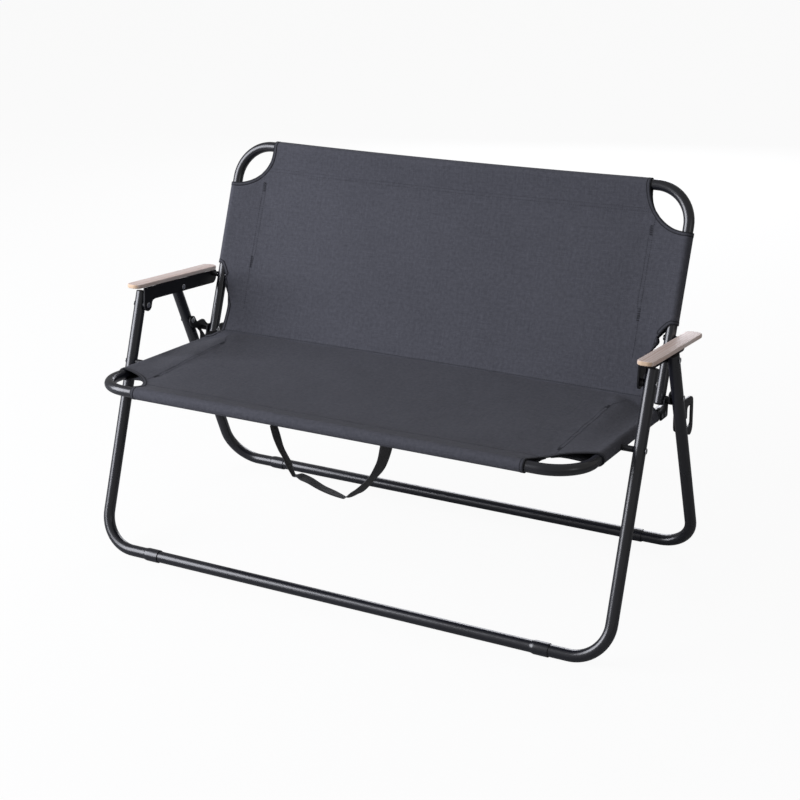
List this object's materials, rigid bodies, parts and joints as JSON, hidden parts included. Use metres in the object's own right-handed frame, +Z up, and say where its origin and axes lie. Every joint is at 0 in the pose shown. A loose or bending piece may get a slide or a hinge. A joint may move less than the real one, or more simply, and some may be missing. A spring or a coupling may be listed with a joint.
{
  "type": "folding camping loveseat",
  "caption": "Folding loveseat for camping: bent steel tube frame with a slung fabric seat and back, wooden armrests and a carry strap, folding flat on coupled pivots.",
  "frame": {"origin": "on the floor, under the middle of the open chair's bounding box", "axes": "+X to the right seen from the front, +Y to the rear, +Z up"},
  "size_m": [1.088, 0.5834, 0.7152],
  "materials": {
    "tube_paint": "satin black powder coat",
    "plate_paint": "matte black powder coat",
    "bare_steel": "bright plated rivets, bolts and spacers",
    "plug_plastic": "black moulded plastic",
    "sling_fabric": "charcoal woven polyester",
    "webbing": "black woven webbing",
    "slat_wood": "pale brown wood, matte"
  },
  "bodies": {
    "front_legs": {"front_leg_left": "tube_paint", "front_leg_right": "tube_paint", "front_cross_tube": "tube_paint", "front_leg_plug_left": "plug_plastic", "front_leg_plug_right": "plug_plastic", "arm_pivot_rivet_left": "bare_steel", "arm_pivot_rivet_right": "bare_steel", "seat_pivot_rivet_left": "bare_steel", "seat_pivot_rivet_right": "bare_steel", "seat_pivot_spacer_left": "bare_steel", "seat_pivot_spacer_right": "bare_steel"},
    "seat": {"seat_rail_left": "tube_paint", "seat_rail_right": "tube_paint", "seat_front_tube": "tube_paint", "seat_rail_plug_left": "plug_plastic", "seat_rail_plug_right": "plug_plastic", "seat_hinge_plate_left": "plate_paint", "seat_hinge_plate_right": "plate_paint", "hinge_rivet_front_left": "bare_steel", "hinge_rivet_front_right": "bare_steel", "hinge_rivet_rear_left": "bare_steel", "hinge_rivet_rear_right": "bare_steel", "seat_sling": "sling_fabric", "carry_strap": "webbing"},
    "backrest": {"back_upright_left": "tube_paint", "back_upright_right": "tube_paint", "back_top_tube": "tube_paint", "back_upright_plug_left": "plug_plastic", "back_upright_plug_right": "plug_plastic", "arm_back_bolt_left": "bare_steel", "arm_back_bolt_right": "bare_steel", "arm_back_spacer_left": "bare_steel", "arm_back_spacer_right": "bare_steel", "seat_back_bolt_left": "bare_steel", "seat_back_bolt_right": "bare_steel", "seat_back_spacer_left": "bare_steel", "seat_back_spacer_right": "bare_steel", "back_sling": "sling_fabric"},
    "arm_right": {"arm_bracket_right": "plate_paint", "armrest_slat_right": "slat_wood", "slat_screw_front_right": "bare_steel", "slat_screw_rear_right": "bare_steel"},
    "arm_left": {"arm_bracket_left": "plate_paint", "armrest_slat_left": "slat_wood", "slat_screw_front_left": "bare_steel", "slat_screw_rear_left": "bare_steel"},
    "rear_legs": {"rear_leg_left": "tube_paint", "rear_leg_right": "tube_paint", "rear_cross_tube": "tube_paint", "rear_leg_plug_left": "plug_plastic", "rear_leg_plug_right": "plug_plastic", "rear_leg_rivet_left": "bare_steel", "rear_leg_rivet_right": "bare_steel", "lock_rivet_left": "bare_steel", "lock_rivet_right": "bare_steel"},
    "lock_right": {"lock_plate_right": "plate_paint"},
    "lock_left": {"lock_plate_left": "plate_paint"}
  },
  "joints": [
    {"name": "seat_fold", "type": "hinge", "parent": "front_legs", "child": "seat", "pos_m": [0, -0.10676, 0.3513], "axis": [-1, 0, 0], "range_deg": [0, 102]},
    {"name": "back_hinge", "type": "hinge", "parent": "seat", "child": "backrest", "pos_m": [0, 0.11894, 0.34845], "axis": [1, 0, 0], "range_deg": [0, 102]},
    {"name": "arm_right_pivot", "type": "hinge", "parent": "front_legs", "child": "arm_right", "pos_m": [0, -0.06204, 0.45616], "axis": [-1, 0, 0], "range_deg": [0, 102]},
    {"name": "arm_left_pivot", "type": "hinge", "parent": "front_legs", "child": "arm_left", "pos_m": [0, -0.06204, 0.45616], "axis": [-1, 0, 0], "range_deg": [0, 102]},
    {"name": "rear_leg_pivot", "type": "hinge", "parent": "arm_right", "child": "rear_legs", "pos_m": [0, 0.05831, 0.45631], "axis": [1, 0, 0], "range_deg": [0, 59.4]},
    {"name": "lock_right_pivot", "type": "hinge", "parent": "rear_legs", "child": "lock_right", "pos_m": [0, 0.08772, 0.37327], "axis": [-1, 0, 0], "range_deg": [0, 21.5]},
    {"name": "lock_left_pivot", "type": "hinge", "parent": "rear_legs", "child": "lock_left", "pos_m": [0, 0.08772, 0.37327], "axis": [-1, 0, 0], "range_deg": [0, 21.5]}
  ],
  "couplings": [
    {"joint": "back_hinge", "follows": "seat_fold", "ratio": 1},
    {"joint": "arm_right_pivot", "follows": "seat_fold", "ratio": 1},
    {"joint": "arm_left_pivot", "follows": "seat_fold", "ratio": 1},
    {"joint": "rear_leg_pivot", "follows": "seat_fold", "ratio": 0.58235},
    {"joint": "lock_right_pivot", "follows": "seat_fold", "ratio": 0.21078},
    {"joint": "lock_left_pivot", "follows": "seat_fold", "ratio": 0.21078}
  ]
}
